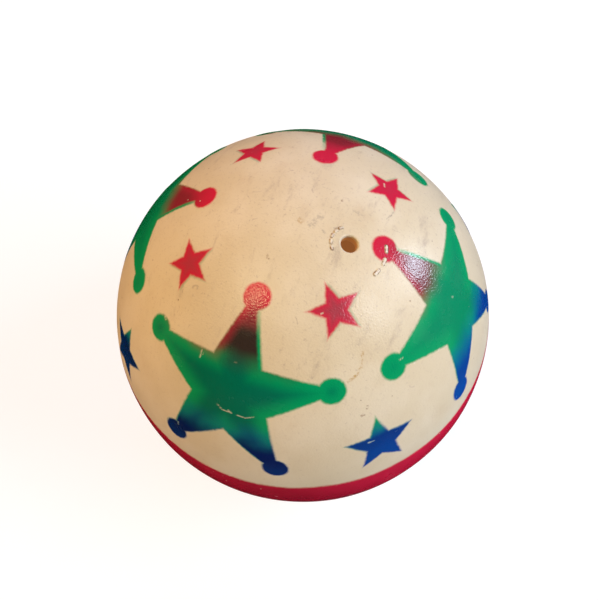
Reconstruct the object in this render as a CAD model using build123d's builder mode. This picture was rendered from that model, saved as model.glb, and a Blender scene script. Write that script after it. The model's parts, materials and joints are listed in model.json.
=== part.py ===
"""A hollow vinyl juggling ball, airbrushed through a stencil.

The frame: millimetres, origin at the ball's centre, +Z through the pole that the stencil's
stars point at, -Y through the large star that faces the front. The body is two mouldings
lapped and welded at z = 0. The paint is modelled as thin films that lie on the vinyl, one
node for each spray pass on each half. Places on the ball are given by colatitude, the angle
down from the half's own pole, and by azimuth, the angle from +X towards +Y.
"""

from build123d import *
import os
from math import asin, cos, degrees, radians, sin

# Body
BALL_RADIUS = 35.0
WALL = 1.7
LAP_HEIGHT = 3.0  # the lower half's spigot rises this far inside the upper half
PAINT = 0.06  # thickness of a sprayed film

# Filling hole, in the upper half
HOLE_RADIUS = 1.25
HOLE_COLATITUDE = 16.3
HOLE_AZIMUTH = -11.3
HOLE_LIP = 0.35  # radius of the rounded mouth

# Raised dashes moulded round the filling hole
DASH_RISE = 0.15
DASH_ROOT = 1.0  # how far a dash is sunk in the wall, so that it grows out of it
SMALL_DASH = (0.75, 0.35)  # length and width
SMALL_DASH_COUNT = 5
SMALL_DASH_RING = 2.75  # distance from the hole's axis
SMALL_DASH_MIDDLE = 100.0  # degrees about the hole's axis; 90 is towards the pole
SMALL_DASH_STEP = 20.0
LARGE_DASH = (1.3, 0.45)
LARGE_DASH_COUNT = 3
LARGE_DASH_RING = 5.7
LARGE_DASH_MIDDLE = -79.0
LARGE_DASH_STEP = 21.0

# Stencil: angles seen from the ball's centre, in degrees
STAR_AZIMUTHS = (-90, 0, 90, 180)
BETWEEN_STARS = 45  # the small stars stand half way between the large ones
BIG_STAR_COLATITUDE = 48.7
BIG_STAR_NOTCH = 10.8  # from the star's centre to the inner corners
BIG_STAR_POINT = 27.2  # where the straight edges of an arm would meet
BIG_STAR_KNOB = 24.8  # from the star's centre to the centre of an arm's round end
BIG_STAR_KNOB_RADIUS = 3.4
RED_ENDS = 39.2  # colatitude where the red pass gives way to the green one
BLUE_STARTS = 57.2
RED_STAR_COLATITUDE = 27.2
RED_STAR_POINT = 6.6
RED_STAR_NOTCH = 3.1
BLUE_STAR_COLATITUDE = 65.8
BLUE_STAR_POINT = 9.4
BLUE_STAR_NOTCH = 4.2
BAND_EDGE = 79.4  # colatitude of the belt's edge on each half

POINTS = 5
POINT_STEP = 360 / POINTS
UPPER = 1
LOWER = -1
CUTTER_BASE = 0.75 * BALL_RADIUS  # stencil prisms start here, clear of one another
CUTTER_HEIGHT = 0.35 * BALL_RADIUS


def across(angle):
    """Distance from a star's axis to a point on the ball that is angle away from it."""
    return BALL_RADIUS * sin(radians(angle))


def outward_plane(colatitude, azimuth, half, height):
    """Plane square to a radius of the ball, with its Y axis towards the half's pole."""
    tilt = radians(colatitude)
    turn = radians(azimuth)
    out = Vector(sin(tilt) * cos(turn), sin(tilt) * sin(turn), half * cos(tilt))
    to_pole = Vector(-cos(tilt) * cos(turn), -cos(tilt) * sin(turn), half * sin(tilt))
    return Plane(origin=out * height, x_dir=to_pole.cross(out), z_dir=out)


def star_points(point, notch):
    """Corners of a five-pointed star with one point along +Y."""
    corners = []
    for number in range(POINTS):
        bearing = radians(90 + number * POINT_STEP)
        corners.append((across(point) * cos(bearing), across(point) * sin(bearing)))
        bearing = radians(90 + (number + 0.5) * POINT_STEP)
        corners.append((across(notch) * cos(bearing), across(notch) * sin(bearing)))
    return corners


# Body: two half shells, each revolved from its section
inner_radius = BALL_RADIUS - WALL
lap_radius = BALL_RADIUS - WALL / 2
lap_angle = degrees(asin(LAP_HEIGHT / inner_radius))
hole_mouth = outward_plane(HOLE_COLATITUDE, HOLE_AZIMUTH, UPPER, BALL_RADIUS)

with BuildPart() as dashes:
    for size, ring, count, step, middle in (
        (SMALL_DASH, SMALL_DASH_RING, SMALL_DASH_COUNT, SMALL_DASH_STEP, SMALL_DASH_MIDDLE),
        (LARGE_DASH, LARGE_DASH_RING, LARGE_DASH_COUNT, LARGE_DASH_STEP, LARGE_DASH_MIDDLE),
    ):
        first = middle - step * (count - 1) / 2
        with BuildSketch(hole_mouth.offset(-DASH_ROOT)):
            with PolarLocations(ring, count, start_angle=first, angular_range=step * (count - 1)):
                Rectangle(size[1], size[0])
        extrude(amount=2 * DASH_ROOT)
    Sphere(BALL_RADIUS + DASH_RISE, mode=Mode.INTERSECT)

with BuildPart() as upper_shell:
    with BuildSketch(Plane.XZ):
        with BuildLine():
            outside = CenterArc((0, 0), BALL_RADIUS, 0, 90)
            inside = CenterArc((0, 0), inner_radius, lap_angle, 90 - lap_angle)
            Line(outside @ 1, inside @ 1)
            Polyline(inside @ 0, (lap_radius, LAP_HEIGHT), (lap_radius, 0), outside @ 0)
        make_face()
    revolve(axis=Axis.Z)
    with Locations(hole_mouth):
        Hole(HOLE_RADIUS, depth=2 * WALL)
    fillet(upper_shell.edges().sort_by_distance(hole_mouth.origin)[0], HOLE_LIP)
    add(dashes.part)
upper_shell.part.label = "upper_shell"

with BuildPart() as lower_shell:
    with BuildSketch(Plane.XZ):
        with BuildLine():
            outside = CenterArc((0, 0), BALL_RADIUS, -90, 90)
            inside = CenterArc((0, 0), inner_radius, -90, 90 + lap_angle)
            Line(outside @ 0, inside @ 0)
            Polyline(inside @ 1, (lap_radius, LAP_HEIGHT), (lap_radius, 0), outside @ 1)
        make_face()
    revolve(axis=Axis.Z)
lower_shell.part.label = "lower_shell"

# Paint: every film is cut from one thin spherical layer that lies on the vinyl
with BuildPart() as paint_layer:
    Sphere(BALL_RADIUS + PAINT)
    Sphere(BALL_RADIUS, mode=Mode.SUBTRACT)

with BuildPart() as equator_band:
    add(paint_layer.part)
    band_height = 2 * BALL_RADIUS * cos(radians(BAND_EDGE))
    Box(3 * BALL_RADIUS, 3 * BALL_RADIUS, band_height, mode=Mode.INTERSECT)
equator_band.part.label = "equator_band"


# Stretches of a large star, in its own plane: the middle of a box, then its width and height
star_reach = across(BIG_STAR_KNOB) + 2 * across(BIG_STAR_KNOB_RADIUS)
red_edge = across(BIG_STAR_COLATITUDE - RED_ENDS)
blue_edge = across(BIG_STAR_COLATITUDE - BLUE_STARTS)
red_box = (
    (0, (star_reach + red_edge) / 2),
    (2 * across(BIG_STAR_NOTCH), star_reach - red_edge),
)
blue_box = (
    (0, (blue_edge - star_reach) / 2),
    (2 * star_reach, blue_edge + star_reach),
)


def large_stars(half, boxes, mode):
    """Films of the four large stars, kept inside the boxes or cut away there."""
    with BuildPart() as films:
        for azimuth in STAR_AZIMUTHS:
            plane = outward_plane(BIG_STAR_COLATITUDE, azimuth, half, CUTTER_BASE)
            with BuildSketch(plane):
                Polygon(*star_points(BIG_STAR_POINT, BIG_STAR_NOTCH), align=None)
                with PolarLocations(across(BIG_STAR_KNOB), POINTS, start_angle=90):
                    Circle(across(BIG_STAR_KNOB_RADIUS))
                for middle, size in boxes:
                    with Locations(middle):
                        Rectangle(*size, mode=mode)
            extrude(amount=CUTTER_HEIGHT)
        add(paint_layer.part, mode=Mode.INTERSECT)
        if half == UPPER:
            add(dashes.part, mode=Mode.SUBTRACT)
    return films


def small_stars(half, colatitude, point, notch):
    """Films of the four small stars that stand between the large ones."""
    with BuildPart() as films:
        for azimuth in STAR_AZIMUTHS:
            plane = outward_plane(colatitude, azimuth + BETWEEN_STARS, half, CUTTER_BASE)
            with BuildSketch(plane):
                Polygon(*star_points(point, notch), align=None)
            extrude(amount=CUTTER_HEIGHT)
        add(paint_layer.part, mode=Mode.INTERSECT)
    return films


os.makedirs("parts", exist_ok=True)
for finished in (upper_shell, lower_shell, equator_band):
    export_step(finished.part, f"parts/{finished.part.label}.step")

for half_name, half in (("upper", UPPER), ("lower", LOWER)):
    films_of_half = {
        "red_arms": large_stars(half, [red_box], Mode.INTERSECT),
        "green_bodies": large_stars(half, [red_box, blue_box], Mode.SUBTRACT),
        "blue_feet": large_stars(half, [blue_box], Mode.INTERSECT),
        "small_red_stars": small_stars(
            half, RED_STAR_COLATITUDE, RED_STAR_POINT, RED_STAR_NOTCH
        ),
        "small_blue_stars": small_stars(
            half, BLUE_STAR_COLATITUDE, BLUE_STAR_POINT, BLUE_STAR_NOTCH
        ),
    }
    for film_name, films in films_of_half.items():
        films.part.label = f"{half_name}_{film_name}"
        export_step(films.part, f"parts/{films.part.label}.step")
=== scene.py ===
"""Looks of a hollow vinyl juggling ball, airbrushed with stars through a stencil.

The two mouldings and every sprayed film are built again as fine meshes on the CAD model's
sizes. Lengths on the ball are in millimetres and are turned into metres when a mesh is made.
Places on the ball are given by colatitude, the angle down from a half's own pole, and by
azimuth, the angle from +X towards +Y, both in degrees.
"""

import json
from math import asin, cos, degrees, pi, radians, sin, sqrt

import bpy
import numpy as np
from mathutils import Matrix, Vector


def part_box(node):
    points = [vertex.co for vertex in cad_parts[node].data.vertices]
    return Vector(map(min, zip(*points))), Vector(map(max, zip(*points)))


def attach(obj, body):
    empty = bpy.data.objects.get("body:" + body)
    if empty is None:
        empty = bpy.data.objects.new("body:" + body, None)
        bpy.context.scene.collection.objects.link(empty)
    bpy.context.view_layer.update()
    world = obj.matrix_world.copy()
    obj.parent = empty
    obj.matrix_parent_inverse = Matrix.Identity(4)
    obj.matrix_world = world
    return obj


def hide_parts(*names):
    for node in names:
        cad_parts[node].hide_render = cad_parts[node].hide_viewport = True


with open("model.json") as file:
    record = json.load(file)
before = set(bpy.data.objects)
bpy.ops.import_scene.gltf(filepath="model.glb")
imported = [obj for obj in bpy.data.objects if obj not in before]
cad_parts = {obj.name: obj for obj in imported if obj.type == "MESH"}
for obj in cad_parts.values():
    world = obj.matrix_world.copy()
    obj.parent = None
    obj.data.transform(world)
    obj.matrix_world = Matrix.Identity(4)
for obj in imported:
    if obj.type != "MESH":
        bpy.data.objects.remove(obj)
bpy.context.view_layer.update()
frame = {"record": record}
MM = 0.001

# Sizes read from the frame
BALL_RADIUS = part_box("upper_shell")[1].z / MM
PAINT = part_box("equator_band")[1].x / MM - BALL_RADIUS
BAND_HALF_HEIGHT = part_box("equator_band")[1].z / MM
LAP_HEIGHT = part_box("lower_shell")[1].z / MM
mounts = {mount["name"]: mount for mount in frame["record"]["mounts"]}
hole_mount = mounts["filling_hole"]
HOLE_AXIS = np.array(hole_mount["axis"])
HOLE_RADIUS = hole_mount["dims"]["r_mm"]
wall_middle_depth = BALL_RADIUS - np.linalg.norm(hole_mount["pos_m"]) / MM
HOLE_LIP = wall_middle_depth - hole_mount["dims"]["length_mm"] / 2
WALL = wall_middle_depth + hole_mount["dims"]["length_mm"] / 2
INNER_RADIUS = BALL_RADIUS - WALL
LAP_RADIUS = BALL_RADIUS - WALL / 2

# The stencil, in degrees seen from the ball's centre
STAR_AZIMUTHS = (-90, 0, 90, 180)
BETWEEN_STARS = 45
BIG_STAR_COLATITUDE = 48.7
RED_STAR_COLATITUDE = 27.2
BLUE_STAR_COLATITUDE = 65.8
RED_ENDS = 39.2
BLUE_STARTS = 57.2
UPPER = 1
LOWER = -1


def arc(angle):
    """Length in mm along the ball's surface that spans an angle in degrees."""
    return BALL_RADIUS * radians(angle)


# A star is its arms' inner corners, the point where an arm's edges meet, and its round end.
# Spray doesn't stop exactly at a stencil: a few are up to 0.6 degrees off the CAD films.
BIG_STAR = {"notch": arc(10.8), "point": arc(27.8), "knob": arc(24.8), "knob_radius": arc(3.5)}
RED_STAR = {"notch": arc(3.0), "point": arc(6.7), "knob": None, "knob_radius": None}
BLUE_STAR = {"notch": arc(4.2), "point": arc(9.4), "knob": None, "knob_radius": None}
ARM_STEP = 2 * pi / 5

# The stencil was held by hand, so a star sits a little off its even place: to the right and
# towards the pole, and turned, in degrees. The lower half is taken to be sprayed the same.
NUDGES = {
    (BIG_STAR_COLATITUDE, -90): (0.0, 0.5, -0.5),
    (BIG_STAR_COLATITUDE, 0): (0.0, -0.5, -0.5),
    (BIG_STAR_COLATITUDE, 90): (-0.5, 2.5, 0.0),
    (BIG_STAR_COLATITUDE, 180): (0.0, -1.0, -2.0),
    (RED_STAR_COLATITUDE, -45): (-0.5, 0.0, -1.0),
    (RED_STAR_COLATITUDE, 45): (-0.5, 0.0, 1.5),
    (RED_STAR_COLATITUDE, 135): (0.5, 0.5, -4.0),
    (RED_STAR_COLATITUDE, 225): (-0.5, -1.5, -1.0),
    (BLUE_STAR_COLATITUDE, -45): (0.0, 0.0, -2.0),
    (BLUE_STAR_COLATITUDE, 225): (0.5, -0.5, 4.0),
}
EVEN_PLACE = (0.0, 0.0, 0.0)

# Raised dashes round the hole: ring radius, middle angle, step, count, length, width
DASH_RINGS = (
    (2.75, 100.0, 20.0, 5, 0.75, 0.35),
    (5.70, -79.0, 21.0, 3, 1.30, 0.45),
)
DASH_RISE = 0.15
DASH_EDGE = 0.06  # half the width of a dash's sloping side
NO_DASH = 99.0  # distance in mm that stands for no dash near

# Scratches through the paint of the upper half's stars: width in mm, then the points that a
# scratch runs through, in degrees to the right of the star's middle and towards the pole
WEAR = {
    (BIG_STAR_COLATITUDE, -90): (
        (0.10, (-2.5, -4.0), (-1.0, -5.0), (1.5, -5.0)),
        (0.15, (0.5, -4.5), (1.5, -5.0)),
        (0.10, (3.0, -5.0), (5.0, -5.0), (7.0, -4.0)),
        (0.15, (-9.5, 8.0), (-9.5, 6.0)),
        (0.10, (-9.0, 7.5), (-9.0, 7.0)),
        (0.15, (-13.5, -17.5), (-13.5, -16.5)),
        (0.25, (-23.0, 11.0), (-22.5, 10.5)),
        (0.10, (-0.5, 8.5), (0.0, 8.5)),
    ),
    (BIG_STAR_COLATITUDE, 0): (
        (0.15, (-13.0, -1.5), (-12.5, -1.5)),
        (0.10, (-21.5, 7.5), (-20.5, 7.0)),
        (0.10, (0.5, 2.0), (1.0, 1.5)),
    ),
    (RED_STAR_COLATITUDE, 45): (
        (0.20, (1.0, 1.0), (2.0, 0.5)),
    ),
    (RED_STAR_COLATITUDE, -45): (
        (0.15, (-3.5, 0.5), (-3.0, 0.5)),
    ),
    (BLUE_STAR_COLATITUDE, -45): (
        (0.25, (-3.0, 2.0), (-2.5, 2.0)),
        (0.15, (-2.5, 2.0), (-1.5, 2.0)),
    ),
}
WORN_THROUGH = 0.7  # how much of the paint is gone along a scratch

# Films
FILM_MARGIN = 0.9  # how far a film runs past the stencil's edge, until its colour is gone
FILM_ROOT = 0.03  # how far a film's underside lies in the vinyl, so that no rim shows
DASH_CLEAR = 0.10  # gap that a film leaves round a raised dash
BIG_CELL = 0.16  # mesh size of the large stars' films, and of the small stars'
SMALL_CELL = 0.12


# ---------------------------------------------------------------- formulas for both uses
class NodeMath:
    """The few numpy functions that the formulas below need, for wires in a node tree."""

    @staticmethod
    def hypot(a, b):
        return (a * a + b * b).math("SQRT")

    @staticmethod
    def arctan2(a, b):
        return a.math("ARCTAN2", b)

    @staticmethod
    def sin(a):
        return a.math("SINE")

    @staticmethod
    def cos(a):
        return a.math("COSINE")

    @staticmethod
    def abs(a):
        return a.math("ABSOLUTE")

    @staticmethod
    def mod(a, b):
        return a.math("FLOORED_MODULO", b)

    @staticmethod
    def maximum(a, b):
        return a.math("MAXIMUM", b)

    @staticmethod
    def minimum(a, b):
        return a.math("MINIMUM", b)


def star_distance(x, y, star, maths=np):
    """Distance in mm to a stencil star's edge, negative inside; one arm points along +y."""
    reach = maths.hypot(x, y)
    bearing = maths.arctan2(x, y)
    folded = maths.abs(maths.mod(bearing + ARM_STEP / 2, ARM_STEP) - ARM_STEP / 2)
    across = reach * maths.sin(folded)
    along = reach * maths.cos(folded)
    notch_x = star["notch"] * sin(ARM_STEP / 2)
    notch_y = star["notch"] * cos(ARM_STEP / 2)
    lean = np.arctan2(notch_x, star["point"] - notch_y)
    arm = (across - notch_x) * cos(lean) + (along - notch_y) * sin(lean)
    if star["knob"] is None:
        return arm
    arm = maths.maximum(arm, along - star["knob"])
    knob = maths.hypot(across, along - star["knob"]) - star["knob_radius"]
    return maths.minimum(arm, knob)


# ---------------------------------------------------------------- shape of the surface
def unit(vectors):
    return vectors / np.linalg.norm(vectors, axis=-1, keepdims=True)


def local_axes(colatitude, azimuth, half):
    """Right, towards-the-pole and outward directions at a place on the ball."""
    tilt, turn = radians(colatitude), radians(azimuth)
    out = np.array([sin(tilt) * cos(turn), sin(tilt) * sin(turn), half * cos(tilt)])
    up = np.array([-cos(tilt) * cos(turn), -cos(tilt) * sin(turn), half * sin(tilt)])
    return np.cross(up, out), up, out


def nudged(colatitude, azimuth, half):
    """The three directions at a star where the stencil really sat."""
    right, up, out = local_axes(colatitude, azimuth, half)
    shift_right, shift_up, turn = NUDGES.get((colatitude, azimuth), EVEN_PLACE)
    out = unit(out + radians(shift_right) * right + radians(shift_up) * up)
    up = unit(up - out * (up @ out))
    right = np.cross(up, out)
    turn = radians(turn)
    return cos(turn) * right + sin(turn) * up, cos(turn) * up - sin(turn) * right, out


def axes_about(out):
    """The same three directions at a place given by its outward direction."""
    up = unit(np.array([0.0, 0.0, 1.0]) - out * out[2])
    return np.cross(up, out), up, out


def place(x, y, axes):
    """Directions of points x and y mm along the surface from a place, keeping distances."""
    right, up, out = axes
    reach = np.hypot(x, y)
    angle = reach / BALL_RADIUS
    share = np.where(reach > 1e-9, np.sin(angle) / np.maximum(reach, 1e-9), 0.0)
    return (
        np.cos(angle)[..., None] * out
        + (share * x)[..., None] * right
        + (share * y)[..., None] * up
    )


def flatten(directions, axes):
    """The opposite of place: how far along the surface directions are from a place."""
    right, up, out = axes
    angle = np.arccos(np.clip(directions @ out, -1, 1))
    share = BALL_RADIUS * angle / np.maximum(np.sin(angle), 1e-9)
    return (directions @ right) * share, (directions @ up) * share


HOLE_AXES = axes_about(HOLE_AXIS)


def dash_distance(directions):
    """Distance in mm to the nearest raised dash's edge, negative on a dash."""
    x, y = flatten(directions, HOLE_AXES)
    nearest = np.full(x.shape, NO_DASH)
    for ring, middle, step, count, length, width in DASH_RINGS:
        for number in range(count):
            turn = radians(middle + (number - (count - 1) / 2) * step)
            outward = (x - ring * cos(turn)) * cos(turn) + (y - ring * sin(turn)) * sin(turn)
            sideways = (y - ring * sin(turn)) * cos(turn) - (x - ring * cos(turn)) * sin(turn)
            past_end = np.maximum(np.abs(sideways) - (length - width) / 2, 0)
            nearest = np.minimum(nearest, np.hypot(past_end, outward) - width / 2)
    return nearest


def smooth(value, start, end):
    """0 at start, 1 at end, with an even slope between."""
    share = np.clip((value - start) / (end - start), 0, 1)
    return share * share * (3 - 2 * share)


WAVES = np.random.default_rng(7).normal(size=(10, 3))
WAVE_LENGTHS = np.linspace(9, 26, 10)
WAVE_HEIGHT = 0.006


def surface_radius(directions):
    """Radius in mm of the moulded surface: round, faintly uneven, with its raised dashes."""
    radius = np.full(directions.shape[:-1], BALL_RADIUS)
    for wave, length in zip(unit(WAVES), WAVE_LENGTHS):
        radius = radius + WAVE_HEIGHT * np.sin(directions @ wave * 2 * pi * BALL_RADIUS / length)
    rise = smooth(dash_distance(directions), DASH_EDGE, -DASH_EDGE)
    return radius + DASH_RISE * rise


# ---------------------------------------------------------------- meshes
def make_piece(name, points, faces, attributes=(), normals=None):
    """A closed, smooth mesh from points in mm."""
    mesh = bpy.data.meshes.new(name)
    mesh.from_pydata((np.asarray(points) * MM).tolist(), [], faces)
    mesh.update()
    for label, kind, values in attributes:
        layer = mesh.attributes.new(label, kind, "POINT")
        field = "vector" if kind == "FLOAT_VECTOR" else "value"
        layer.data.foreach_set(field, np.asarray(values, np.float32).ravel())
    mesh.polygons.foreach_set("use_smooth", [True] * len(mesh.polygons))
    if normals is not None:
        mesh.normals_split_custom_set_from_vertices(normals.tolist())
    piece = bpy.data.objects.new(name, mesh)
    bpy.context.scene.collection.objects.link(piece)
    return piece


def ring_faces(ring_count, around, closed):
    """Quads between rings of points; the last ring joins the first where closed."""
    faces = []
    for ring in range(ring_count if closed else ring_count - 1):
        low, high = ring * around, (ring + 1) % ring_count * around
        for number in range(around):
            after = (number + 1) % around
            faces.append((low + number, low + after, high + after, high + number))
    return faces


AROUND_HOLE = 320
FINE_REACH = arc(11.5)  # the dashes lie within this distance of the hole's axis
FINE_RINGS = 80
WIDE_RINGS = 120
INNER_RINGS = 36
LIP_RINGS = 10
WALL_RINGS = 5
SEAM_RINGS = 4
INNER_CROWDING = 1.5  # above 1, the inside's rings lie closer together at the hole
SEAM_ROUND = 0.15  # radius of the mouldings' outer edges at the joint


def upper_moulding():
    """Upper half: rings run from the joint up to the hole, down its wall and back inside."""
    turns = np.linspace(0, 2 * pi, AROUND_HOLE, endpoint=False)
    right, up, out = HOLE_AXES
    radial = np.cos(turns)[:, None] * right + np.sin(turns)[:, None] * up

    def ring(angles):
        angles = np.broadcast_to(angles, turns.shape)
        return np.cos(angles)[:, None] * out + np.sin(angles)[:, None] * radial

    def angle_to_height(height):
        """Angle from the hole's axis at which each column reaches a height, in radii."""
        steepness = np.hypot(out[2], radial[:, 2])
        return np.arctan2(radial[:, 2], out[2]) + np.arccos(height / steepness)

    rings = []
    seam_turn = SEAM_ROUND / BALL_RADIUS
    at_joint = ring(angle_to_height(0.0))
    flat_out = unit(at_joint * (1, 1, 0))
    for share in np.linspace(0, 1, SEAM_RINGS + 1)[:-1]:
        bend = share * pi / 2
        radius = BALL_RADIUS - SEAM_ROUND + SEAM_ROUND * sin(bend)
        height = SEAM_ROUND - SEAM_ROUND * cos(bend)
        rings.append(flat_out * radius + (0, 0, height))
    far = angle_to_height(sin(seam_turn))
    near = FINE_REACH / BALL_RADIUS
    mouth = asin((HOLE_RADIUS + HOLE_LIP) / (BALL_RADIUS - HOLE_LIP))
    for share in np.linspace(0, 1, WIDE_RINGS, endpoint=False):
        directions = ring(far + (near - far) * share)
        rings.append(directions * surface_radius(directions)[:, None])
    for share in np.linspace(0, 1, FINE_RINGS, endpoint=False):
        directions = ring(near + (mouth - near) * share)
        rings.append(directions * surface_radius(directions)[:, None])
    mouth_level = float(surface_radius(ring(mouth)).mean())
    lip_middle = sqrt((mouth_level - HOLE_LIP) ** 2 - (HOLE_RADIUS + HOLE_LIP) ** 2)
    for share in np.linspace(0, 1, LIP_RINGS):
        bend = mouth - share * (pi / 2 + mouth)
        reach = HOLE_RADIUS + HOLE_LIP + HOLE_LIP * sin(bend)
        rings.append(out * (lip_middle + HOLE_LIP * cos(bend)) + radial * reach)
    wall_foot = sqrt(INNER_RADIUS**2 - HOLE_RADIUS**2)
    for share in np.linspace(0, 1, WALL_RINGS + 1)[1:]:
        depth = lip_middle + (wall_foot - lip_middle) * share
        rings.append(out * depth + radial * HOLE_RADIUS)
    outer_count = len(rings)
    start = asin(HOLE_RADIUS / INNER_RADIUS)
    finish = angle_to_height(LAP_HEIGHT / INNER_RADIUS)
    for share in np.linspace(0, 1, INNER_RINGS)[1:] ** INNER_CROWDING:
        rings.append(ring(start + (finish - start) * share) * INNER_RADIUS)
    lap_out = unit(rings[-1] * (1, 1, 0))
    rings.append(lap_out * LAP_RADIUS + (0, 0, LAP_HEIGHT))
    rings.append(flat_out * LAP_RADIUS)
    inside = np.zeros((len(rings), AROUND_HOLE))
    inside[outer_count - WALL_RINGS :] = 1.0
    points = np.concatenate(rings)
    dash = dash_distance(unit(points))
    dash[inside.ravel() > 0] = NO_DASH
    return make_piece(
        "upper_moulding",
        points,
        ring_faces(len(rings), AROUND_HOLE, True),
        (("inside", "FLOAT", inside), ("dash", "FLOAT", dash)),
    )


def lower_moulding():
    """Lower half, with the spigot that stands inside the upper half's edge."""
    turns = np.linspace(0, 2 * pi, AROUND_HOLE, endpoint=False)
    flat = np.stack([np.cos(turns), np.sin(turns), np.zeros_like(turns)], 1)
    down = np.array([0.0, 0.0, -1.0])
    rings = []
    for share in np.linspace(1, 0, WIDE_RINGS, endpoint=False):
        angle = share * (pi / 2 - SEAM_ROUND / BALL_RADIUS)
        directions = flat * sin(angle) + down * cos(angle)
        rings.append(directions * surface_radius(directions)[:, None])
    rings.reverse()
    for share in np.linspace(0, 1, SEAM_RINGS + 1)[1:]:
        bend = share * pi / 2
        radius = BALL_RADIUS - SEAM_ROUND + SEAM_ROUND * cos(bend)
        rings.append(flat * radius + down * (SEAM_ROUND - SEAM_ROUND * sin(bend)))
    rings.append(flat * LAP_RADIUS)
    rings.append(flat * LAP_RADIUS - down * LAP_HEIGHT)
    outer_count = len(rings)
    lap_angle = asin(LAP_HEIGHT / INNER_RADIUS)
    for share in np.linspace(0, 1, INNER_RINGS, endpoint=False):
        angle = (pi / 2 + lap_angle) * (1 - share)
        rings.append((flat * sin(angle) + down * cos(angle)) * INNER_RADIUS)
    count = len(rings)
    faces = ring_faces(count, AROUND_HOLE, False)
    points = np.concatenate([*rings, [down * BALL_RADIUS, down * INNER_RADIUS]])
    outer_pole, inner_pole = count * AROUND_HOLE, count * AROUND_HOLE + 1
    last = (count - 1) * AROUND_HOLE
    for number in range(AROUND_HOLE):
        after = (number + 1) % AROUND_HOLE
        faces.append((outer_pole, after, number))
        faces.append((last + number, last + after, inner_pole))
    inside = np.zeros(len(points))
    inside[outer_count * AROUND_HOLE :] = 1.0
    inside[outer_pole] = 0.0
    dash = np.full(len(points), NO_DASH)
    return make_piece(
        "lower_moulding",
        points,
        faces,
        (("inside", "FLOAT", inside), ("dash", "FLOAT", dash)),
    )


BELT_AROUND = 360
BELT_RINGS = 60
SEAM_DIP = 0.05  # the belt's faint groove over the joint
SEAM_WIDTH = 0.12


def coat_level(edge):
    """Height of a film's top over the skin: full inside the stencil, then under the skin."""
    return -FILM_ROOT / 2 + (PAINT + FILM_ROOT / 2) * smooth(edge, FILM_MARGIN, -FILM_MARGIN)


def belt_film():
    """The belt: a film over the joint that sinks into the skin past its two edges."""
    turns = np.linspace(0, 2 * pi, BELT_AROUND, endpoint=False)
    reach = BAND_HALF_HEIGHT + FILM_MARGIN
    points = []
    for on_top, heights in (
        (True, np.linspace(-reach, reach, BELT_RINGS)),
        (False, np.linspace(reach, -reach, BELT_RINGS // 3)),
    ):
        for height in heights:
            slope = np.full_like(turns, height / BALL_RADIUS)
            flat = np.sqrt(1 - slope**2)
            out = np.stack([flat * np.cos(turns), flat * np.sin(turns), slope], 1)
            lift = coat_level(abs(height) - BAND_HALF_HEIGHT) if on_top else -FILM_ROOT
            seam = SEAM_DIP * np.exp(-((height / SEAM_WIDTH) ** 2)) if on_top else 0
            points.append(out * (surface_radius(out) + lift - seam)[:, None])
    faces = ring_faces(len(points), BELT_AROUND, True)
    return make_piece("belt_film", np.concatenate(points), faces)


TINY = 0.01  # step in mm for reading a slope
LEAST_SLOPE = 0.2  # keeps an edge point from running off where the distance is nearly level


def star_cells(axes, star, cell):
    """Cells of a lattice that cover a star and its margin, with edge points on the margin."""
    tip = star["knob"] + star["knob_radius"] if star["knob"] else star["point"]
    count = int((tip + FILM_MARGIN) / cell) + 2
    line = np.arange(-count, count + 1) * cell
    x, y = [grid.ravel() for grid in np.meshgrid(line, line, indexing="ij")]

    def past_edge(x, y):
        """Below 0 where the film is."""
        on_vinyl = DASH_CLEAR - dash_distance(place(x, y, axes))
        return np.maximum(star_distance(x, y, star) - FILM_MARGIN, on_vinyl)

    side = len(line)
    corner = np.arange(side * side).reshape(side, side)
    cells = np.stack(
        [corner[:-1, :-1], corner[1:, :-1], corner[1:, 1:], corner[:-1, 1:]], -1
    )
    middles = past_edge(x[cells].mean(-1), y[cells].mean(-1)) < 0
    # two cells that touch at one corner only would leave the film pinched there
    for _ in range(3):
        here, right = middles[:-1, :-1], middles[1:, :-1]
        above, across = middles[:-1, 1:], middles[1:, 1:]
        pinched = (here & across & ~right & ~above) | (right & above & ~here & ~across)
        middles[:-1, :-1] |= pinched
        middles[1:, :-1] |= pinched
    cells = cells[middles]
    on_edge = np.unique(boundary(cells)[:, 0])
    for _ in range(3):
        gap = past_edge(x[on_edge], y[on_edge])
        slope_x = (past_edge(x[on_edge] + TINY, y[on_edge]) - gap) / TINY
        slope_y = (past_edge(x[on_edge], y[on_edge] + TINY) - gap) / TINY
        step = gap / np.maximum(slope_x**2 + slope_y**2, LEAST_SLOPE)
        step = np.clip(step, -0.5 * cell, 0.5 * cell)
        x[on_edge] -= step * slope_x
        y[on_edge] -= step * slope_y
    return x, y, cells


def boundary(cells):
    """Directed edges that belong to one cell only."""
    edges = np.concatenate([cells[:, [side, (side + 1) % 4]] for side in range(4)])
    key = edges[:, 0] * 10**7 + edges[:, 1]
    back = edges[:, 1] * 10**7 + edges[:, 0]
    return edges[~np.isin(key, back)]


def wear_at(x, y, scratches):
    """How far paint is scratched away, from 0 to 1."""
    worn = np.zeros_like(x)
    for width, *points in scratches:
        points = np.array([[arc(right), arc(up)] for right, up in points])
        for start, end in zip(points[:-1], points[1:]):
            run = end - start
            along = (x - start[0]) * run[0] + (y - start[1]) * run[1]
            along = np.clip(along / (run @ run), 0, 1)
            gap = np.hypot(x - start[0] - along * run[0], y - start[1] - along * run[1])
            worn = np.maximum(worn, WORN_THROUGH * smooth(gap, width, 0.3 * width))
    return worn


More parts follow.
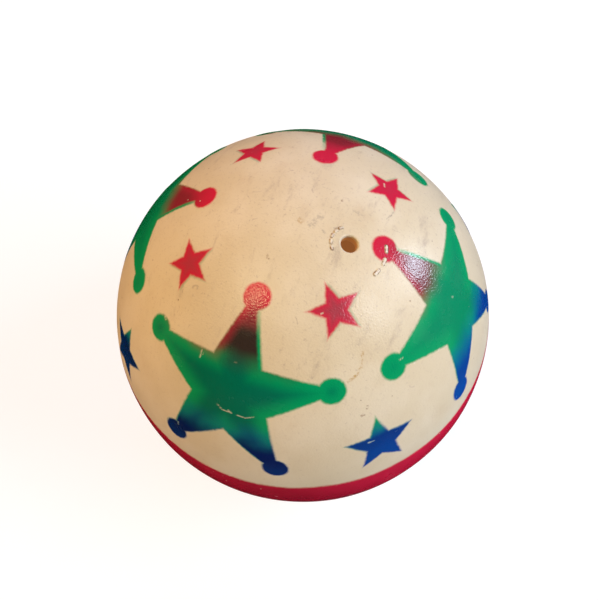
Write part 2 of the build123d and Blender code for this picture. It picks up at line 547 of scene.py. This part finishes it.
def star_films(name, stars, star, zone, cell):
    """One piece: the films of a family of stars, each kept where zone says."""
    points, normals, faces, stencil, worn = [], [], [], [], []
    offset = 0
    for colatitude, azimuth, half, coat in stars:
        axes = nudged(colatitude, azimuth, half)
        x, y, cells = star_cells(axes, star, cell)
        lattice = cell * np.round(np.stack([x, y]) / cell)
        cells = cells[zone(lattice[0][cells].mean(1), lattice[1][cells].mean(1))]
        used, cells = np.unique(cells, return_inverse=True)
        cells = cells.reshape(-1, 4)
        x, y = x[used], y[used]
        out = place(x, y, axes)
        level = surface_radius(out)
        top = out * (level + coat_level(star_distance(x, y, star)))[:, None]
        bottom = out * (level - FILM_ROOT)[:, None]
        count = len(used)
        rim = boundary(cells)
        walls = np.stack([rim[:, 1], rim[:, 0], rim[:, 0] + count, rim[:, 1] + count], 1)
        every = np.concatenate([cells, cells[:, ::-1] + count, walls]) + offset
        faces.extend(every.tolist())
        points.extend((top, bottom))
        normals.extend((out, -out))
        stencil.extend([np.stack([x, y, np.full(count, coat)], 1)] * 2)
        scratches = WEAR.get((colatitude, azimuth), ()) if half == UPPER else ()
        worn.extend([wear_at(x, y, scratches)] * 2)
        offset += 2 * count
    attributes = (
        ("stencil", "FLOAT_VECTOR", np.concatenate(stencil)),
        ("worn", "FLOAT", np.concatenate(worn)),
    )
    return make_piece(name, np.concatenate(points), faces, attributes, np.concatenate(normals))


# ---------------------------------------------------------------- node formulas
class Wire:
    """A number in a node tree, so that a formula of nodes reads as a formula."""

    def __init__(self, tree, socket):
        self.tree = tree
        self.socket = socket

    def math(self, operation, *others):
        node = self.tree.nodes.new("ShaderNodeMath")
        node.operation = operation
        for slot, value in zip(node.inputs, (self, *others)):
            plug(self.tree, value, slot)
        return Wire(self.tree, node.outputs[0])

    def __add__(self, other):
        return self.math("ADD", other)

    def __sub__(self, other):
        return self.math("SUBTRACT", other)

    def __mul__(self, other):
        return self.math("MULTIPLY", other)

    def __truediv__(self, other):
        return self.math("DIVIDE", other)

    def __rsub__(self, other):
        return (self * -1.0) + other

    __radd__ = __add__
    __rmul__ = __mul__

    def fade(self, start, end):
        """0 at start, 1 at end, smooth between."""
        node = self.tree.nodes.new("ShaderNodeMapRange")
        node.interpolation_type = "SMOOTHSTEP"
        plug(self.tree, self, node.inputs["Value"])
        node.inputs["From Min"].default_value = start
        node.inputs["From Max"].default_value = end
        return Wire(self.tree, node.outputs["Result"])


def plug(tree, value, slot):
    if isinstance(value, Wire):
        tree.links.new(value.socket, slot)
    else:
        slot.default_value = value


def blend(tree, share, below, above, mode="MIX"):
    """Colour above laid over colour below, by share."""
    node = tree.nodes.new("ShaderNodeMix")
    node.data_type = "RGBA"
    node.blend_type = mode
    plug(tree, share, node.inputs[0])
    for value, slot in ((below, node.inputs[6]), (above, node.inputs[7])):
        if isinstance(value, Wire):
            tree.links.new(value.socket, slot)
        else:
            slot.default_value = (*value, 1)
    return Wire(tree, node.outputs[2])


def object_place(tree):
    """Coordinates in the row frame, in mm."""
    source = tree.nodes.new("ShaderNodeTexCoord")
    scale = tree.nodes.new("ShaderNodeVectorMath")
    scale.operation = "SCALE"
    scale.inputs["Scale"].default_value = 1 / MM
    tree.links.new(source.outputs["Object"], scale.inputs[0])
    return Wire(tree, scale.outputs[0])


def grain(tree, where, size, detail=2.0, roughness=0.5, stretch=None):
    """Noise about 0.5, with features about size mm across."""
    node = tree.nodes.new("ShaderNodeTexNoise")
    node.inputs["Scale"].default_value = 1 / size
    node.inputs["Detail"].default_value = detail
    node.inputs["Roughness"].default_value = roughness
    if stretch:
        mapping = tree.nodes.new("ShaderNodeMapping")
        mapping.inputs["Rotation"].default_value = stretch[0]
        mapping.inputs["Scale"].default_value = stretch[1]
        tree.links.new(where.socket, mapping.inputs[0])
        where = Wire(tree, mapping.outputs[0])
    tree.links.new(where.socket, node.inputs["Vector"])
    return Wire(tree, node.outputs["Fac"])


def named(tree, label, part="Fac"):
    node = tree.nodes.new("ShaderNodeAttribute")
    node.attribute_name = label
    return Wire(tree, node.outputs[part])


def split(tree, vector):
    node = tree.nodes.new("ShaderNodeSeparateXYZ")
    tree.links.new(vector.socket, node.inputs[0])
    return [Wire(tree, out) for out in node.outputs]


# ---------------------------------------------------------------- materials
CREAM = (0.69, 0.61, 0.42)
CREAM_PALE = (0.74, 0.67, 0.49)
CREAM_TAN = (0.60, 0.48, 0.31)
SCUFF = (0.42, 0.34, 0.25)
# Painted light: the inside and the hole's wall are tinted amber and made to glow, for daylight
# shining through the wall
PAINTED_INSIDE_AMBER = (0.42, 0.19, 0.06)
PAINTED_INSIDE_GLOW = 0.35  # painted glow, standing in for daylight that comes through the wall
# dark brown of the specks, and of the ring round each raised dash
DARK_BROWN = (0.22, 0.12, 0.05)
BARE = (0.80, 0.75, 0.64)
TAN_MARK = ((0.50, 0.33, 0.11), 0.65)  # a mark's tint and how far it covers the vinyl
BROWN_MARK = ((0.22, 0.10, 0.03), 0.65)
GREY_MARK = ((0.34, 0.29, 0.22), 0.45)
RED = (0.62, 0.014, 0.055)
RED_THICK = (0.34, 0.045, 0.070)
MAROON = (0.036, 0.026, 0.022)
GREEN_THIN = (0.0008, 0.335, 0.122)
GREEN_THICK = (0.0005, 0.163, 0.099)
BLUE_THIN = (0.0008, 0.085, 0.42)
BLUE_THICK = (0.0005, 0.0125, 0.125)
CRIMSON = (0.72, 0.012, 0.062)
CRIMSON_DARK = (0.45, 0.009, 0.037)


def new_material(name):
    material = bpy.data.materials.new(name)
    material.use_nodes = True
    tree = material.node_tree
    tree.nodes.clear()
    surface = tree.nodes.new("ShaderNodeBsdfPrincipled")
    output = tree.nodes.new("ShaderNodeOutputMaterial")
    tree.links.new(surface.outputs[0], output.inputs["Surface"])
    return material, tree, surface


def specks(tree, where, spacing, radius, chance):
    """Small dots, each in its own cell, in a share of the cells."""
    node = tree.nodes.new("ShaderNodeTexVoronoi")
    node.inputs["Scale"].default_value = 1 / spacing
    tree.links.new(where.socket, node.inputs["Vector"])
    size = radius / spacing
    near = Wire(tree, node.outputs["Distance"]).fade(1.3 * size, 0.6 * size)
    pick = split(tree, Wire(tree, node.outputs["Color"]))[0]
    return near * pick.math("LESS_THAN", chance)


def hairlines(tree, where, size, width, cover):
    """Short curved scratches: where a noise crosses its middle, broken up by another."""
    crossing = (grain(tree, where, size, 1.0) - 0.5).math("ABSOLUTE")
    broken = grain(tree, where, 0.35 * size, 2.0).fade(cover, cover + 0.06)
    return crossing.fade(width, 0.3 * width) * broken


def wander(tree, where, size, reach):
    """Places pushed about by up to half of reach, so that a straight mark looks rubbed in."""
    node = tree.nodes.new("ShaderNodeTexNoise")
    node.inputs["Scale"].default_value = 1 / size
    node.inputs["Detail"].default_value = 3.0
    tree.links.new(where.socket, node.inputs["Vector"])
    middle = tree.nodes.new("ShaderNodeVectorMath")
    middle.operation = "SUBTRACT"
    middle.inputs[1].default_value = (0.5, 0.5, 0.5)
    tree.links.new(node.outputs["Color"], middle.inputs[0])
    push = tree.nodes.new("ShaderNodeVectorMath")
    push.operation = "MULTIPLY_ADD"
    push.inputs[1].default_value = (reach, reach, reach)
    tree.links.new(middle.outputs[0], push.inputs[0])
    tree.links.new(where.socket, push.inputs[2])
    return Wire(tree, push.outputs[0])


def along(tree, where, direction, origin):
    """Distance in mm from origin along a direction."""
    node = tree.nodes.new("ShaderNodeVectorMath")
    node.operation = "DOT_PRODUCT"
    tree.links.new(where.socket, node.inputs[0])
    node.inputs[1].default_value = direction
    return Wire(tree, node.outputs["Value"]) - float(np.dot(direction, origin))


def stroke(tree, where, start, end, width):
    """A straight mark on the skin between two places given as colatitude and azimuth."""
    a = local_axes(*start, UPPER)[2] * BALL_RADIUS
    b = local_axes(*end, UPPER)[2] * BALL_RADIUS
    run = unit(b - a)
    out = unit(a + b)
    side = np.cross(out, run)
    length = float(np.linalg.norm(b - a))
    lengthwise = along(tree, where, run, a)
    past_end = (lengthwise - length / 2).math("ABSOLUTE") - length / 2
    gap = NodeMath.hypot(past_end.math("MAXIMUM", 0.0), along(tree, where, side, a))
    above = along(tree, where, out, (0, 0, 0)).math("GREATER_THAN", 0.0)
    return gap.fade(width, 0.35 * width) * above


# Marks on the upper half's vinyl: tint, width in mm, then the places that a mark runs
# through, each as colatitude and azimuth in degrees
STROKES = (
    (TAN_MARK, 0.30, (39.0, -41.5), (42.0, -44.0), (43.5, -47.0), (44.5, -51.0)),
    (BROWN_MARK, 0.30, (52.5, -46.0), (53.0, -46.5)),
    (BROWN_MARK, 0.30, (54.5, -48.0), (54.5, -48.5)),
    (GREY_MARK, 0.20, (26.0, 28.5), (25.0, 24.5), (23.5, 21.5)),
    (GREY_MARK, 0.30, (15.0, 23.5), (17.5, 20.5)),
    (GREY_MARK, 0.75, (7.0, 4.5), (6.5, -22.5)),
    (BROWN_MARK, 0.30, (12.5, 36.0), (12.5, 36.5)),
    (GREY_MARK, 0.30, (9.5, -18.0), (10.0, -18.5)),
    (BROWN_MARK, 0.25, (21.0, 3.0), (21.0, 3.5)),
    (BROWN_MARK, 0.30, (13.5, -95.0), (14.0, -92.0)),
    (TAN_MARK, 0.60, (4.0, -39.0), (4.0, -35.0)),
)


def vinyl_colour(tree, where):
    """Aged ivory vinyl: blotches, mottling, grey smears round both poles, specks, hairlines."""
    blotch = grain(tree, where, 11.0, 3.0)
    colour = blend(tree, blotch.fade(0.40, 0.66), CREAM, CREAM_PALE)
    tan = grain(tree, where, 4.0, 4.0, 0.65).fade(0.54, 0.80)
    colour = blend(tree, tan * 0.35, colour, CREAM_TAN)
    handled = split(tree, where)[2].math("ABSOLUTE").fade(17.0, 31.0)
    smear = grain(tree, where, 2.4, 5.0, 0.7, ((0.3, 0.5, 0.9), (1.0, 0.35, 0.7)))
    colour = blend(tree, smear.fade(0.54, 0.80) * (handled * 0.62 + 0.07), colour, SCUFF)
    fine = grain(tree, where, 0.45, 3.0, 0.75).fade(0.54, 0.76)
    colour = blend(tree, fine * (handled * 0.28 + 0.24), colour, SCUFF)
    lines = hairlines(tree, where, 5.0, 0.008, 0.62)
    colour = blend(tree, lines * (handled * 0.30 + 0.25), colour, SCUFF)
    return blend(tree, specks(tree, where, 2.0, 0.13, 0.18) * 0.7, colour, DARK_BROWN)


def marked(tree, where, colour):
    """The single marks laid over the vinyl, each rubbed in and broken up."""
    wandering = wander(tree, where, 0.9, 0.8)
    broken = grain(tree, where, 0.45, 4.0, 0.7).fade(0.38, 0.60)
    for (tint, strength), width, *places in STROKES:
        for start, end in zip(places[:-1], places[1:]):
            mark = stroke(tree, wandering, start, end, width) * broken
            colour = blend(tree, mark * strength, colour, tint)
    return colour


PEEL_SIZE = 0.30  # width of the orange peel's bumps, and their heights on vinyl and on paint
VINYL_PEEL = 0.030
PAINT_PEEL = 0.034
VINYL_ROUGHNESS = 0.34
STAR_ROUGHNESS = 0.20
BELT_ROUGHNESS = 0.20
SKIN_IOR = 1.47


def surface_finish(tree, surface, where, paint_roughness=None, painted=0.0):
    """Roughness and bump: rubbed patches over a fine orange peel, deeper where paint landed."""
    roughness = grain(tree, where, 7.0, 4.0, 0.6).fade(0.45, 0.75) * 0.12 + VINYL_ROUGHNESS
    depth = VINYL_PEEL
    if paint_roughness:
        roughness = roughness - painted * (VINYL_ROUGHNESS - paint_roughness)
        depth = painted * (PAINT_PEEL - VINYL_PEEL) + VINYL_PEEL
    plug(tree, roughness, surface.inputs["Roughness"])
    peel = (grain(tree, where, PEEL_SIZE, 1.0) - 0.5) * depth
    bump = tree.nodes.new("ShaderNodeBump")
    bump.inputs["Strength"].default_value = 1.0
    bump.inputs["Distance"].default_value = MM
    tree.links.new(peel.socket, bump.inputs["Height"])
    tree.links.new(bump.outputs[0], surface.inputs["Normal"])
    surface.inputs["IOR"].default_value = SKIN_IOR


def vinyl_material():
    material, tree, surface = new_material("aged_vinyl")
    where = object_place(tree)
    colour = marked(tree, where, vinyl_colour(tree, where))
    dash = named(tree, "dash")
    # each raised dash gets a darker brown ring, broken up, round its foot, and a paler top
    rim = dash.fade(0.24, 0.02) * grain(tree, where, 0.5, 3.0).fade(0.42, 0.58)
    colour = blend(tree, rim * 0.8, colour, DARK_BROWN)
    colour = blend(tree, dash.fade(0.0, -0.12) * 0.7, colour, BARE)
    # painted light: the inside is tinted amber and glows, standing in for daylight through the
    # wall
    inside = named(tree, "inside")
    colour = blend(tree, inside, colour, PAINTED_INSIDE_AMBER)
    tree.links.new(colour.socket, surface.inputs["Base Color"])
    surface_finish(tree, surface, where)
    surface.inputs["Emission Color"].default_value = (*PAINTED_INSIDE_AMBER, 1)
    plug(tree, inside * PAINTED_INSIDE_GLOW, surface.inputs["Emission Strength"])
    return material


def colatitude_of(tree, where):
    """Angle from the half's pole, in degrees."""
    node = tree.nodes.new("ShaderNodeVectorMath")
    node.operation = "NORMALIZE"
    tree.links.new(where.socket, node.inputs[0])
    z = split(tree, Wire(tree, node.outputs[0]))[2]
    return z.math("ABSOLUTE").math("ARCCOSINE") * degrees(1)


SOFT = 0.28  # half the width of a sprayed edge
BELT_SOFT = 0.45
RED_SLIP = 0.55  # the red pass stops this far short of the green one's right edge
BLUE_SLIP = 0.15  # the blue stencil sat this far to the right of the green one
WINDOW_DRIFT = 5.0  # range in degrees over which a pass's fading end wanders

# Where a pass fades: from nothing at the first colatitude to full at the second
GREEN_ON_BIG = ((23.0, 32.0), (72.0, 64.0))
RED_ON_BIG = ((43.5, 35.5),)
BLUE_ON_BIG = ((53.5, 64.5),)
GREEN_ON_BLUE_STAR = ((70.0, 62.0),)
BLUE_ON_BLUE_STAR = ((56.5, 63.0),)
WHOLE_STAR = ((99.0, 98.0),)


def spray(tree, where, colatitude, distance, window):
    """How much of one spray pass landed: soft at the stencil, fading at its window's ends."""
    ragged = (grain(tree, where, 0.6, 3.0, 0.6) - 0.5) * 0.35
    share = (distance + ragged).fade(SOFT, -SOFT)
    for start, end in window:
        share = share * colatitude.fade(start, end)
    return share


def chips(tree, where):
    """Places where the paint is gone: scratches that the mesh carries, and scattered dots."""
    torn = named(tree, "worn") * grain(tree, where, 0.35, 2.0).fade(0.30, 0.48)
    return torn.math("MAXIMUM", specks(tree, where, 2.6, 0.13, 0.14) * 0.7)


def star_paint(name, star, green, red_window=None, blue_window=None, red_slip=0.0, red_heart=0.0):
    """Spray through one stencil star: green first, then red or blue, each a little off.

    Green is its load, its shift to the right in mm and its windows. The red stops red_slip
    short of the arm's right edge and is red_heart deeper away from the edges. A window is
    where a pass fades; a star without a red or blue window doesn't get that pass.
    """
    green_load, green_shift, green_window = green
    material, tree, surface = new_material(name)
    where = object_place(tree)
    x, y, coat = split(tree, named(tree, "stencil", "Vector"))
    colatitude = colatitude_of(tree, where) + (grain(tree, where, 4.0) - 0.5) * WINDOW_DRIFT
    chipped = chips(tree, where)
    kept = 1.0 - chipped
    colour = blend(tree, chipped, vinyl_colour(tree, where), BARE)
    inside = star_distance(x, y, star, NodeMath)
    green_edge = star_distance(x - green_shift, y, star, NodeMath)
    green = spray(tree, where, colatitude, green_edge, green_window) * kept * green_load
    depth = coat * inside.fade(-0.3, -3.4)
    colour = blend(tree, green, colour, blend(tree, depth, GREEN_THIN, GREEN_THICK))
    painted = green
    if red_window:
        below_tip = y.fade(star["point"] * 0.86, star["point"] * 0.74)
        slip = red_slip * x.fade(-0.8, 0.8) * below_tip
        red_edge = star_distance(x + slip, y, star, NodeMath)
        red = spray(tree, where, colatitude, red_edge, red_window) * kept
        heart = inside.fade(0.2, -1.4) * coat * red_heart
        left_edge = inside.fade(-1.8, 0.0) * x.fade(0.4, -0.6)
        below = 0.0
        if green_window:
            below = green * coat.fade(0.15, 0.6) * (1.0 - left_edge * 0.4)
        over = blend(tree, below, blend(tree, heart, RED, RED_THICK), MAROON)
        colour = blend(tree, red, colour, over)
        painted = painted.math("MAXIMUM", red)
    if blue_window:
        blue_edge = star_distance(x - BLUE_SLIP, y, star, NodeMath)
        blue = spray(tree, where, colatitude, blue_edge, blue_window) * kept
        over = blend(tree, (green * 0.25 + coat * coat * 0.8) * blue, BLUE_THIN, BLUE_THICK)
        colour = blend(tree, blue, colour, over)
        painted = painted.math("MAXIMUM", blue)
    tree.links.new(colour.socket, surface.inputs["Base Color"])
    surface_finish(tree, surface, where, STAR_ROUGHNESS, painted)
    return material


def belt_paint():
    """Crimson belt: an even coat with soft, slightly wandering edges and small chips."""
    material, tree, surface = new_material("belt_paint")
    where = object_place(tree)
    height = split(tree, where)[2].math("ABSOLUTE")
    ragged = (grain(tree, where, 0.7, 3.0, 0.6) - 0.5) * 0.4
    ragged = ragged + (grain(tree, where, 9.0) - 0.5) * 0.6
    share = (height - BAND_HALF_HEIGHT + ragged).fade(BELT_SOFT, -BELT_SOFT)
    scratched = hairlines(tree, where, 6.0, 0.007, 0.62)
    lost = specks(tree, where, 3.0, 0.16, 0.16).math("MAXIMUM", scratched)
    colour = blend(tree, lost, vinyl_colour(tree, where), BARE)
    darker_side = split(tree, where)[0].fade(33.0, 13.0)  # the belt is paler towards +X and darker away from it
    cloud = grain(tree, where, 6.0, 3.0, 0.5).fade(0.3, 0.75)
    paint = blend(tree, darker_side * 0.75 + cloud * 0.25, CRIMSON, CRIMSON_DARK)
    colour = blend(tree, share * (1.0 - lost * 0.8), colour, paint)
    tree.links.new(colour.socket, surface.inputs["Base Color"])
    surface_finish(tree, surface, where, BELT_ROUGHNESS, share)
    return material


# ---------------------------------------------------------------- build the pieces
RED_EDGE_Y = arc(BIG_STAR_COLATITUDE - RED_ENDS)
BLUE_EDGE_Y = arc(BIG_STAR_COLATITUDE - BLUE_STARTS)
RED_ARM_SIDE = 2 * BIG_STAR["notch"] * 0.7  # wider than the arm that points to the pole


def in_red_arm(x, y):
    return (y > RED_EDGE_Y) & (np.abs(x) < RED_ARM_SIDE)


def in_blue_feet(x, y):
    return y < BLUE_EDGE_Y


def in_green_body(x, y):
    return ~in_red_arm(x, y) & ~in_blue_feet(x, y)


def everywhere(x, y):
    return np.full(x.shape, True)


vinyl = vinyl_material()
big_paint = star_paint(
    "big_star_paint",
    BIG_STAR,
    green=(1.0, 0.0, GREEN_ON_BIG),
    red_window=RED_ON_BIG,
    blue_window=BLUE_ON_BIG,
    red_slip=RED_SLIP,
    red_heart=0.3,
)
red_paint = star_paint(
    "small_red_paint",
    RED_STAR,
    green=(0.35, 0.35, ()),
    red_window=WHOLE_STAR,
    red_heart=0.85,
)
blue_paint = star_paint(
    "small_blue_paint",
    BLUE_STAR,
    green=(1.0, 0.0, GREEN_ON_BLUE_STAR),
    blue_window=BLUE_ON_BLUE_STAR,
)

pieces = [
    (upper_moulding(), "upper_shell", "vinyl", vinyl),
    (lower_moulding(), "lower_shell", "vinyl", vinyl),
    (belt_film(), "equator_band", "band_paint", belt_paint()),
]
# How thick each star's coat is, 1 the thickest and darkest, by azimuth. A small star goes
# by the azimuth of the large star that stands BETWEEN_STARS degrees before it.
BIG_COATS = {-90: 1.0, 0: 0.45, 90: 0.40, 180: 0.40}
RED_COATS = {-90: 1.0, 0: 0.35, 90: 0.55, 180: 0.7}
BLUE_COATS = {-90: 0.7, 0: 0.5, 90: 0.5, 180: 0.9}
BIG_PLACE = (BIG_STAR, BIG_STAR_COLATITUDE, 0, BIG_COATS)
RED_PLACE = (RED_STAR, RED_STAR_COLATITUDE, BETWEEN_STARS, RED_COATS)
BLUE_PLACE = (BLUE_STAR, BLUE_STAR_COLATITUDE, BETWEEN_STARS, BLUE_COATS)
FAMILIES = (
    ("red_arms", BIG_PLACE, in_red_arm, BIG_CELL, "red_paint", big_paint),
    ("green_bodies", BIG_PLACE, in_green_body, BIG_CELL, "green_paint", big_paint),
    ("blue_feet", BIG_PLACE, in_blue_feet, BIG_CELL, "blue_paint", big_paint),
    ("small_red_stars", RED_PLACE, everywhere, SMALL_CELL, "red_paint", red_paint),
    ("small_blue_stars", BLUE_PLACE, everywhere, SMALL_CELL, "blue_paint", blue_paint),
)
for half_name, half in (("upper", UPPER), ("lower", LOWER)):
    for family, (star, colatitude, turn, coats), zone, cell, slot, material in FAMILIES:
        stars = [(colatitude, azimuth + turn, half, coats[azimuth]) for azimuth in STAR_AZIMUTHS]
        node = f"{half_name}_{family}"
        pieces.append((star_films(f"{node}_paint", stars, star, zone, cell), node, slot, material))

for piece, node, slot, material in pieces:
    piece.data.materials.append(material)
    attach(piece, "root")
    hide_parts(node)

# ---------------------------------------------------------------- floor, light and camera
FLOOR_HALF = 30.0
FLOOR_WHITE = (0.33, 0.34, 0.36)
FLOOR_GLOW = (0.74, 0.74, 0.74)


def pale_floor():
    """White paper on a light table, so that its shadows stay faint, reaching the horizon."""
    mesh = bpy.data.meshes.new("floor")
    half = FLOOR_HALF
    level = -BALL_RADIUS * MM
    square = ((-half, -half), (half, -half), (half, half), (-half, half))
    corners = [(x, y, level) for x, y in square]
    mesh.from_pydata(corners, [], [(0, 1, 2, 3)])
    floor = bpy.data.objects.new("floor", mesh)
    bpy.context.scene.collection.objects.link(floor)
    material, tree, surface = new_material("floor_paper")
    surface.inputs["Base Color"].default_value = (*FLOOR_WHITE, 1)
    surface.inputs["Roughness"].default_value = 0.9
    surface.inputs["Specular IOR Level"].default_value = 0.0
    surface.inputs["Emission Color"].default_value = (*FLOOR_GLOW, 1)
    surface.inputs["Emission Strength"].default_value = 1.0
    material.cycles.emission_sampling = "NONE"
    floor.data.materials.append(material)
    floor.visible_glossy = False


def towards(azimuth, elevation):
    """Direction from the ball's centre."""
    turn, rise = radians(azimuth), radians(elevation)
    return Vector((cos(rise) * cos(turn), cos(rise) * sin(turn), sin(rise)))


LIGHT_DISTANCE = 0.9

# Panels: name, azimuth, elevation, width and height in metres, watts for red, green and blue,
# tilt in degrees, and whether it is a glint
PANELS = (
    ("window", 13, 34, 0.62, 0.34, (6.5, 6.5, 8.0), 40, False),
    ("ceiling", 20, 84, 1.2, 1.2, (3.6, 3.5, 2.0), 0, False),
    ("warm_lamp", -130, 64, 0.25, 0.25, (2.0, 1.0, 0.3), 0, False),
    ("warm_side", 180, 33, 0.8, 0.6, (3.2, 1.6, 0.4), 0, False),
    ("warm_low", -150, 14, 0.35, 0.35, (1.5, 0.6, 0.3), 0, False),
    ("cool_back", 100, 32, 0.6, 0.6, (0.8, 1.0, 2.5), 0, False),
    ("window_glint", 35, 24, 0.17, 0.15, (2.1, 2.6, 3.0), 40, True),
    ("pane_glint", 1, 45, 0.26, 0.22, (3.0, 3.4, 3.8), 40, True),
    ("lamp_glint", -128, 63, 0.10, 0.10, (1.1, 1.0, 0.5), 0, True),
)


def soft_light(name, azimuth, elevation, width, height, watts, tilt, glint):
    """A soft panel facing the ball, its watts given for red, green and blue.

    A glint is only mirrored in the skin; the other panels light it and aren't mirrored.
    """
    data = bpy.data.lights.new(name, "AREA")
    data.shape = "RECTANGLE"
    data.size = width
    data.size_y = height
    data.energy = max(watts)
    data.color = [share / max(watts) for share in watts]
    light = bpy.data.objects.new(name, data)
    direction = towards(azimuth, elevation)
    facing = direction.to_track_quat("Z", "Y").to_matrix()
    facing = facing @ Matrix.Rotation(radians(tilt), 3, "Z")
    light.matrix_world = Matrix.Translation(direction * LIGHT_DISTANCE) @ facing.to_4x4()
    light.visible_camera = False
    light.visible_glossy = glint
    light.visible_diffuse = not glint
    bpy.context.scene.collection.objects.link(light)


def pale_backdrop():
    """A white wall behind the table. The panels and the table do the lighting, not the wall."""
    world = bpy.data.worlds.new("studio")
    world.use_nodes = True
    world.node_tree.nodes["Background"].inputs["Color"].default_value = (*FLOOR_GLOW, 1)
    bpy.context.scene.world = world
    world.cycles_visibility.glossy = False
    world.cycles_visibility.diffuse = False


CAMERA_AZIMUTH = -63.2
CAMERA_ELEVATION = 63.7
CAMERA_ROLL = -5.5
CAMERA_RADII = 3.514  # distance from the ball's centre, in ball radii
LENS = 37.6
SENSOR = 36.0
AIM_UP = 2.8 * MM  # the camera looks this far above and left of the ball's centre
AIM_LEFT = 0.5 * MM
NEAR_CLIP = 0.005


def add_camera():
    data = bpy.data.cameras.new("camera")
    data.lens = LENS
    data.sensor_width = SENSOR
    data.clip_start = NEAR_CLIP
    camera = bpy.data.objects.new("camera", data)
    back = towards(CAMERA_AZIMUTH, CAMERA_ELEVATION)
    right = Vector((0, 0, 1)).cross(back).normalized()
    up = back.cross(right)
    roll = radians(CAMERA_ROLL)
    rolled_right = right * cos(roll) + up * sin(roll)
    rolled_up = up * cos(roll) - right * sin(roll)
    position = back * CAMERA_RADII * BALL_RADIUS * MM
    aim = rolled_up * AIM_UP - rolled_right * AIM_LEFT
    back = (position - aim).normalized()
    rolled_right = (rolled_right - back * rolled_right.dot(back)).normalized()
    rolled_up = back.cross(rolled_right)
    turn = Matrix((rolled_right, rolled_up, back)).transposed()
    camera.matrix_world = Matrix.Translation(position) @ turn.to_4x4()
    bpy.context.scene.collection.objects.link(camera)
    bpy.context.scene.camera = camera


pale_floor()
for panel in PANELS:
    soft_light(*panel)
pale_backdrop()
add_camera()
bpy.context.scene.view_settings.view_transform = "Standard"
